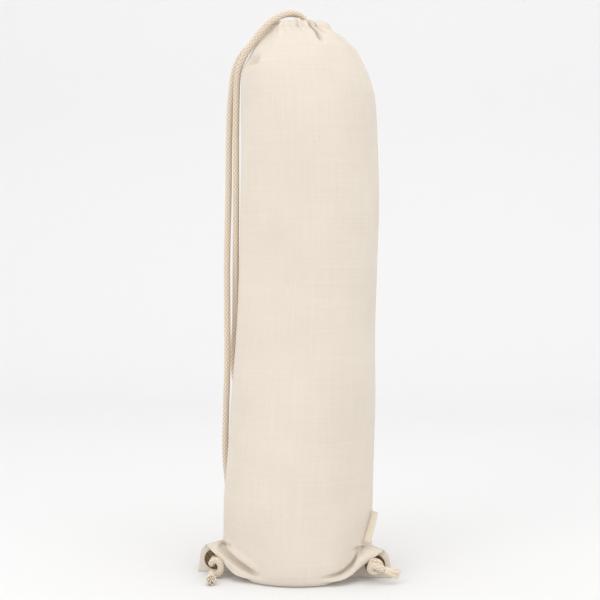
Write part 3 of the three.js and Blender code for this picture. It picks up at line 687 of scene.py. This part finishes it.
def make_tunnel():
    """The wall's section carried round the mouth: it starts on the panels' gathered edge, its radius
    takes on two waves whose turns are uneven, its top rises and falls."""
    step = np.linspace(0, 8, TUNNEL_ROWS)[:, None]
    wall = {name: along(TUNNEL_WALL, "step", name, step) for name in TUNNEL_WALL}
    angle = np.linspace(0, 2 * math.pi, TUNNEL_COLUMNS, endpoint=False)[None, :]
    degrees = (np.degrees(angle) + 180) % 360 - 180
    neck = body_radius(np.array(NECK_HEIGHT)) - gather_depth(degrees, NECK_HEIGHT)
    wave = np.sin(RUFFLES * angle + 0.9 * np.sin(3 * angle))
    fine = 0.45 * np.sin(19 * angle + 2.4 * np.sin(2 * angle) + 0.4 * step)
    radius = neck * wall["spread"] + RUFFLE_DEPTH * wall["ruffle"] * (wave + fine)
    uneven = 0.12 * np.sin(5 * angle + 1) + 0.1 * np.sin(12 * angle + 1.2 * np.sin(angle))
    lift = TUNNEL_HEIGHT * wall["ruffle"] * uneven * smooth(0, 3, step)
    z = NECK_HEIGHT + TUNNEL_HEIGHT * wall["rise"] + lift
    x = body_middle(np.array(NECK_HEIGHT)) + radius * np.sin(angle)
    points = np.stack([x, -radius * np.cos(angle), z], axis=-1)
    quads, row, column = grid_faces(TUNNEL_ROWS, TUNNEL_COLUMNS, True)
    around = np.linspace(0, TUNNEL_LENGTH, TUNNEL_COLUMNS + 1)
    height = arc_lengths(points, 0)
    uv = np.stack([around[column], height[row]], axis=-1)
    mesh = set_mesh("tunnel_canvas", points.reshape(-1, 3), quads, uv)
    piece = new_piece("tunnel_canvas", mesh, hem_canvas, "canvas_hem", "drawstring_tunnel")
    thicken(piece, TUNNEL_CLOTH)


make_tunnel()

# Eyelets
EYELET_SIDES = 72


def make_eyelet(name, side):
    """Section of a barrel with a rolled flange on both faces, turned about Y."""
    half = SEAM_GAP / 2 + EYELET_LAYER + SEAM_GAP
    roll = np.linspace(0, math.pi, 9)
    out_r = np.concatenate([
        EYELET_BORE + 0.0006 - 0.0006 * np.cos(roll / 2),
        EYELET_RIM - 0.0012 + 0.0012 * np.sin(roll),
    ])
    out_y = np.concatenate([
        half + EYELET_FLANGE * np.sin(roll / 2),
        half + EYELET_FLANGE / 2 + EYELET_FLANGE / 2 * np.cos(roll),
    ])
    barrel = EYELET_BORE + 0.0008
    section_r = np.concatenate([out_r, [barrel, barrel], out_r[::-1]])
    section_y = np.concatenate([-out_y, [-half, half], out_y[::-1]])
    angle = np.linspace(0, 2 * math.pi, EYELET_SIDES, endpoint=False)[:, None]
    x = side * (EAR_REACH - EYELET_INSET) + section_r * np.sin(angle)
    z = EYELET_RISE + section_r * np.cos(angle)
    y = seam_plane(np.array(EYELET_RISE)) + section_y + np.zeros_like(x)
    points = np.stack([x, y, z], axis=-1)
    around = len(section_r)
    rows = np.concatenate([points, points[:1]])
    quads, row, column = grid_faces(EYELET_SIDES + 1, around, True)
    quads = (row % EYELET_SIDES) * around + column % around
    uv = np.stack([column * 0.001, row * 0.001], axis=-1)
    mesh = set_mesh(f"eyelet_ring_{name}", rows[:-1].reshape(-1, 3), quads, uv)
    new_piece(f"eyelet_ring_{name}", mesh, bronze, "eyelet_metal", f"eyelet_{name}")


make_eyelet("left", -1)
make_eyelet("right", 1)

# Routes of the two free cords and of the knots, each point listed along the way of the cord
CORD_LEFT_ROUTE = [
    (-0.0465, 0.006, 0.6445), (-0.0515, 0.006, 0.6375), (-0.059, 0.005, 0.628), (-0.068, 0.004, 0.6175),
    (-0.0741, 0.003, 0.606), (-0.0778, 0.003, 0.593), (-0.0816, 0.003, 0.562), (-0.0832, 0.003, 0.526),
    (-0.0845, 0.003, 0.447), (-0.0858, 0.0, 0.368), (-0.0854, -0.002, 0.32), (-0.0852, -0.003, 0.247),
    (-0.088, 0.002, 0.19), (-0.0908, 0.012, 0.135), (-0.0905, 0.024, 0.099), (-0.0898, 0.032, 0.07),
    (-0.09, 0.034, 0.04), (-0.0945, 0.024, 0.022), (-0.0985, 0.009, 0.0165), (-0.0985, -0.008, 0.016),
    (-0.0965, -0.022, 0.016), (-0.096, -0.0375, 0.016),
]
CORD_RIGHT_ROUTE = [
    (0.012, -0.003, 0.643), (0.0105, -0.004, 0.651), (0.0065, -0.007, 0.6585), (0.0, -0.0115, 0.6618),
    (-0.0075, -0.017, 0.6618), (-0.0165, -0.0235, 0.6585), (-0.0285, -0.03, 0.65),
    (-0.0384, -0.0305, 0.64), (-0.048, -0.0285, 0.6284), (-0.0584, -0.024, 0.615),
    (-0.0668, -0.018, 0.6004), (-0.0702, -0.013, 0.588), (-0.0722, -0.009, 0.561),
    (-0.0732, -0.007, 0.525), (-0.0739, -0.004, 0.447), (-0.0758, 0.004, 0.368),
    (-0.0779, 0.0095, 0.295), (-0.0806, 0.0125, 0.255), (-0.0804, 0.026, 0.222), (-0.075, 0.047, 0.188),
    (-0.071, 0.0585, 0.14), (-0.066, 0.068, 0.095), (-0.058, 0.077, 0.055), (-0.047, 0.086, 0.024),
    (-0.034, 0.0935, 0.0085), (-0.018, 0.099, 0.0046), (0.006, 0.102, 0.0042), (0.032, 0.1, 0.0042),
    (0.057, 0.091, 0.0042), (0.079, 0.074, 0.0046), (0.094, 0.052, 0.006), (0.1015, 0.028, 0.0105),
    (0.1005, 0.006, 0.015), (0.097, -0.014, 0.016), (0.096, -0.0375, 0.016),
]
KNOT_LEFT_ROUTE = [
    (-0.096, -0.038, 0.016), (-0.096, -0.0435, 0.0156), (-0.0958, -0.0492, 0.015),
    (-0.0944, -0.0538, 0.0174), (-0.0906, -0.0556, 0.0209), (-0.0856, -0.0564, 0.0186),
    (-0.0832, -0.0574, 0.013), (-0.0844, -0.0582, 0.0076), (-0.0882, -0.0586, 0.0046),
    (-0.0924, -0.0596, 0.0054), (-0.0936, -0.0618, 0.0067), (-0.0929, -0.0654, 0.0068),
]
KNOT_RIGHT_ROUTE = [
    (0.096, -0.038, 0.016), (0.096, -0.0406, 0.016), (0.093, -0.044, 0.017), (0.0932, -0.047, 0.0214),
    (0.0976, -0.0486, 0.0238), (0.1026, -0.0502, 0.0218), (0.1038, -0.052, 0.0176),
    (0.1006, -0.054, 0.0142), (0.096, -0.0558, 0.0136), (0.0924, -0.0576, 0.0166),
    (0.0936, -0.0598, 0.0208), (0.0984, -0.061, 0.0218), (0.1032, -0.0602, 0.0196),
    (0.108, -0.0586, 0.0172),
]
FRAY_LEFT_WAY = [
    (-0.0927, -0.0664, 0.0068), (-0.088, -0.094, 0.0062),
]
FRAY_RIGHT_WAY = [
    (0.1087, -0.0584, 0.0169), (0.126, -0.0525, 0.01),
]


def route_line(route, spacing):
    """Evenly spaced points on the centripetal Catmull-Rom curve through a route."""
    p = np.array(route, float)
    p = np.concatenate([[2 * p[0] - p[1]], p, [2 * p[-1] - p[-2]]])
    gap = np.linalg.norm(np.diff(p, axis=0), axis=1)[:, None] ** 0.5
    before, span, after = gap[:-2], gap[1:-1], gap[2:]
    a, b, c, d = p[:-3], p[1:-2], p[2:-1], p[3:]
    leave = span * ((b - a) / before - (c - a) / (before + span) + (c - b) / span)
    arrive = span * ((c - b) / span - (d - b) / (span + after) + (d - c) / after)
    t = np.linspace(0, 1, 40, endpoint=False)[None, :, None]
    curve = (
        (2 * t**3 - 3 * t**2 + 1) * b[:, None]
        + (t**3 - 2 * t**2 + t) * leave[:, None]
        + (3 * t**2 - 2 * t**3) * c[:, None]
        + (t**3 - t**2) * arrive[:, None]
    ).reshape(-1, 3)
    curve = np.concatenate([curve, p[-2:-1]])
    run = np.concatenate([[0], np.cumsum(np.linalg.norm(np.diff(curve, axis=0), axis=1))])
    count = int(round(run[-1] / spacing)) + 1
    even = np.linspace(0, run[-1], count)
    return np.stack([np.interp(even, run, curve[:, k]) for k in range(3)], axis=-1), run[-1]


def frames_along(line):
    """Two directions square to a line at each station, carried on without twist."""
    ahead = np.gradient(line, axis=0)
    ahead /= np.linalg.norm(ahead, axis=1)[:, None]
    side = np.cross(ahead[0], [0.3, 1, 0.2])
    sides = [side / np.linalg.norm(side)]
    for way in ahead[1:]:
        side = sides[-1] - way * (sides[-1] @ way)
        sides.append(side / np.linalg.norm(side))
    sides = np.array(sides)
    return sides, np.cross(ahead, sides)


def tube_points(line, radius, sides):
    """Rings of points round a line; radius has one row for each station and one column for each side."""
    normal, binormal = frames_along(line)
    angle = np.linspace(0, 2 * math.pi, sides, endpoint=False)
    ring = np.cos(angle)[None, :, None] * normal[:, None] + np.sin(angle)[None, :, None] * binormal[:, None]
    return line[:, None] + radius[..., None] * ring


def braid_relief(along_cord, angle):
    """Tubular braid: two families of strands wind round the cord in opposite directions and pass over
    each other in turn. A strand on top has a round back, fading where it dives. 0 deep, 1 high."""
    turn = BRAID_STRANDS * angle / (2 * math.pi)
    climb = along_cord / BRAID_PITCH
    p, q = turn + climb, turn - climb
    over = (np.floor(p) + np.floor(q)) % 2 < 1
    across = np.where(over, p % 1, q % 1)
    length = np.where(over, q % 1, p % 1)
    back = np.sqrt(np.clip(1 - (2 * across - 1) ** 2, 0, 1))
    dive = 1 - 0.55 * (2 * length - 1) ** 4
    return back * dive


CORD_SIDES = 40
CORD_STEP = 0.0009


def make_braid(name, route, slot, *nodes):
    """Braided cord along a route. The groove shade attribute paints shade into the material between the
    strands.
    """
    line, length = route_line(route, CORD_STEP)
    run = np.linspace(0, length, len(line))[:, None]
    angle = np.linspace(0, 2 * math.pi, CORD_SIDES, endpoint=False)[None, :]
    relief = braid_relief(run, angle)
    radius = CORD_RADIUS - BRAID_RELIEF * (1 - relief)
    points = tube_points(line, radius, CORD_SIDES)
    quads, row, column = grid_faces(len(line), CORD_SIDES, True)
    uv = np.stack([column * (2 * math.pi * CORD_RADIUS / CORD_SIDES), row * CORD_STEP], axis=-1)
    last = (len(line) - 1) * CORD_SIDES
    caps = [np.arange(CORD_SIDES)[::-1], last + np.arange(CORD_SIDES)]
    mesh = set_mesh(name, points.reshape(-1, 3), quads, uv, caps)
    # painted shade mask between the strands, read by the cord material
    groove_shade = mesh.attributes.new("groove_shade", "FLOAT", "POINT")
    groove_shade.data.foreach_set("value", (1 - relief).astype(np.float32).ravel())
    piece = new_piece(name, mesh, braid, slot, *nodes)
    return piece, line, length


# Frayed ends
FRAY_STRANDS = 34
FRAY_SIDES = 7
FRAY_STATIONS = 14
YARN_RADIUS = 0.0011


def make_fray(name, tuft_way, seed, node):
    """Yarns that leave the cord's cut end: each starts at a place in the cord's section, spreads
    outwards and wanders in a slow wave, thinning to its tip."""
    rng = np.random.default_rng(seed)
    start, tip = np.array(tuft_way)
    longest = np.linalg.norm(tip - start)
    way = (tip - start) / longest
    side = np.cross(way, [0, 0, 1.0])
    side /= np.linalg.norm(side)
    up = np.cross(side, way)
    meshes = []
    t = np.linspace(0, 1, FRAY_STATIONS)[:, None]
    for strand in range(FRAY_STRANDS):
        angle = 2.4 * strand
        place = math.sqrt((strand + 0.5) / FRAY_STRANDS)
        out = side * math.cos(angle) + up * math.sin(angle)
        length = longest * rng.uniform(0.78, 1.0)
        spread = (CORD_RADIUS - YARN_RADIUS) * place + 0.0042 * place * rng.uniform(0.5, 1.0) * t**1.3
        wave = 0.0007 * t * np.sin(2 * math.pi * (t * rng.uniform(0.8, 1.6) + rng.uniform()))
        turn = np.cross(way, out)
        line = start + way * length * t + out * spread + turn * wave
        line[:, 2] = np.maximum(line[:, 2], YARN_RADIUS * 1.3)
        thin = YARN_RADIUS * (1 - 0.15 * t) * np.where(t > 0.96, 0.5, 1)
        twist = np.linspace(0, 2 * math.pi, FRAY_SIDES, endpoint=False)[None, :]
        radius = thin * (1 + 0.16 * np.cos(2 * twist + 18 * t))
        meshes.append(tube_points(line, radius, FRAY_SIDES))
    points = np.stack(meshes)
    per = FRAY_STATIONS * FRAY_SIDES
    quads, row, column = grid_faces(FRAY_STATIONS, FRAY_SIDES, True)
    shift = (np.arange(FRAY_STRANDS) * per)[:, None, None]
    uv = np.stack([column * 0.0008, row * 0.0018], axis=-1)
    uv = np.broadcast_to(uv, (FRAY_STRANDS, *uv.shape))
    first = np.arange(FRAY_SIDES)
    caps = [cap + s * per for s in range(FRAY_STRANDS) for cap in (first[::-1], per - FRAY_SIDES + first)]
    mesh = set_mesh(name, points.reshape(-1, 3), (quads[None] + shift).reshape(-1, 4), uv, caps)
    return new_piece(name, mesh, yarn, "cord_cotton", node)


knot_left, _, _ = make_braid("braid_knot_left", KNOT_LEFT_ROUTE, "cord_cotton", "knot_left")
knot_right, _, _ = make_braid("braid_knot_right", KNOT_RIGHT_ROUTE, "cord_cotton", "knot_right")
fray_left = make_fray("frayed_end_left", FRAY_LEFT_WAY, 4, "cord_end_left")
fray_right = make_fray("frayed_end_right", FRAY_RIGHT_WAY, 9, "cord_end_right")
for cord_name, route, cord_node, extras in (
    ("braid_left", CORD_LEFT_ROUTE, "cord_left", [knot_left, fray_left]),
    ("braid_right", CORD_RIGHT_ROUTE, "cord_right", [knot_right, fray_right]),
):
    cord_piece, centreline, cord_length = make_braid(cord_name, route, "cord_cotton", cord_node)


# Label
def make_label():
    """Ribbon between its sewn edge on the seam and its free edge, bowed a little forwards."""
    z = EAR_HEIGHT + LABEL_FOOT + LABEL_LENGTH * np.linspace(0, 1, 33)[:, None]
    y = seam_plane(z)
    x = body_middle(z) + np.sqrt(body_radius(z) ** 2 - y * y)
    out = np.linspace(0, 1, 13)[None, :]
    bow = 0.0008 * np.sin(math.pi * out) + 0.0006 * np.sin(4 * (z - EAR_HEIGHT) / LABEL_LENGTH) * out
    points = np.stack([
        x + LABEL_STANDOFF + 0.93 * LABEL_WIDTH * out,
        y - LABEL_STANDOFF - 0.33 * LABEL_WIDTH * out - bow,
        z - 0.17 * LABEL_WIDTH * out,
    ], axis=-1)
    quads, row, column = grid_faces(33, 13, False)
    uv = np.stack([column * LABEL_WIDTH / 12, row * LABEL_LENGTH / 32], axis=-1)
    mesh = set_mesh("label_ribbon", points.reshape(-1, 3), quads, uv)
    piece = new_piece("label_ribbon", mesh, ribbon, "label_ribbon", "seam_label")
    thicken(piece, LABEL_THICKNESS * 0.7)


make_label()

# Floor, backdrop and light
FLOOR_TONE = (0.815, 0.815, 0.815, 1)
SWEEP_RADIUS = 0.8
SWEEP_DEPTH = 2.2


def make_stage():
    """Floor that runs back and rises in a quarter circle to a plain wall."""
    turn = np.linspace(0, math.pi / 2, 24)
    depth = np.concatenate([[-3.0], SWEEP_DEPTH - SWEEP_RADIUS + SWEEP_RADIUS * np.sin(turn), [SWEEP_DEPTH]])
    height = np.concatenate([[0], SWEEP_RADIUS * (1 - np.cos(turn)), [3.0]])
    width = np.linspace(-4, 4, 9)
    points = np.stack(np.broadcast_arrays(width[None, :], depth[:, None], height[:, None]), axis=-1)
    quads, row, column = grid_faces(len(depth), len(width), False)
    uv = np.stack([column * 1.0, row * 1.0], axis=-1)
    mesh = set_mesh("studio_sweep", points.reshape(-1, 3), quads, uv)
    material, _, shader = new_material("studio_paper")
    shader.inputs["Base Color"].default_value = FLOOR_TONE
    shader.inputs["Roughness"].default_value = 0.9
    mesh.materials.append(material)
    sweep = bpy.data.objects.new("studio_sweep", mesh)
    bpy.context.scene.collection.objects.link(sweep)


def add_light(name, place, aim, size, power):
    data = bpy.data.lights.new(name, "AREA")
    data.shape = "RECTANGLE"
    data.size, data.size_y = size
    data.energy = power
    light = bpy.data.objects.new(name, data)
    bpy.context.scene.collection.objects.link(light)
    back = np.array(place, float) - np.array(aim, float)
    light.location = place
    flat = math.hypot(back[0], back[1])
    light.rotation_euler = (math.atan2(flat, back[2]), 0, math.atan2(back[0], -back[1]))
    return light


def make_light():
    bpy.context.scene.view_settings.view_transform = "Standard"
    world = bpy.data.worlds.new("studio")
    bpy.context.scene.world = world
    world.use_nodes = True
    sky = world.node_tree.nodes["Background"]
    sky.inputs["Color"].default_value = (1, 1, 1, 1)
    sky.inputs["Strength"].default_value = 1.02
    add_light("key", (-1.6, -2.2, 1.9), (0, 0, 0.3), (1.6, 1.6), 13)
    add_light("top", (0.2, -0.4, 2.6), (0, 0, 0.3), (1.8, 1.8), 10)
    add_light("fill", (2.0, -1.6, 1.2), (0, 0, 0.3), (1.6, 1.6), 5)


make_stage()
make_light()
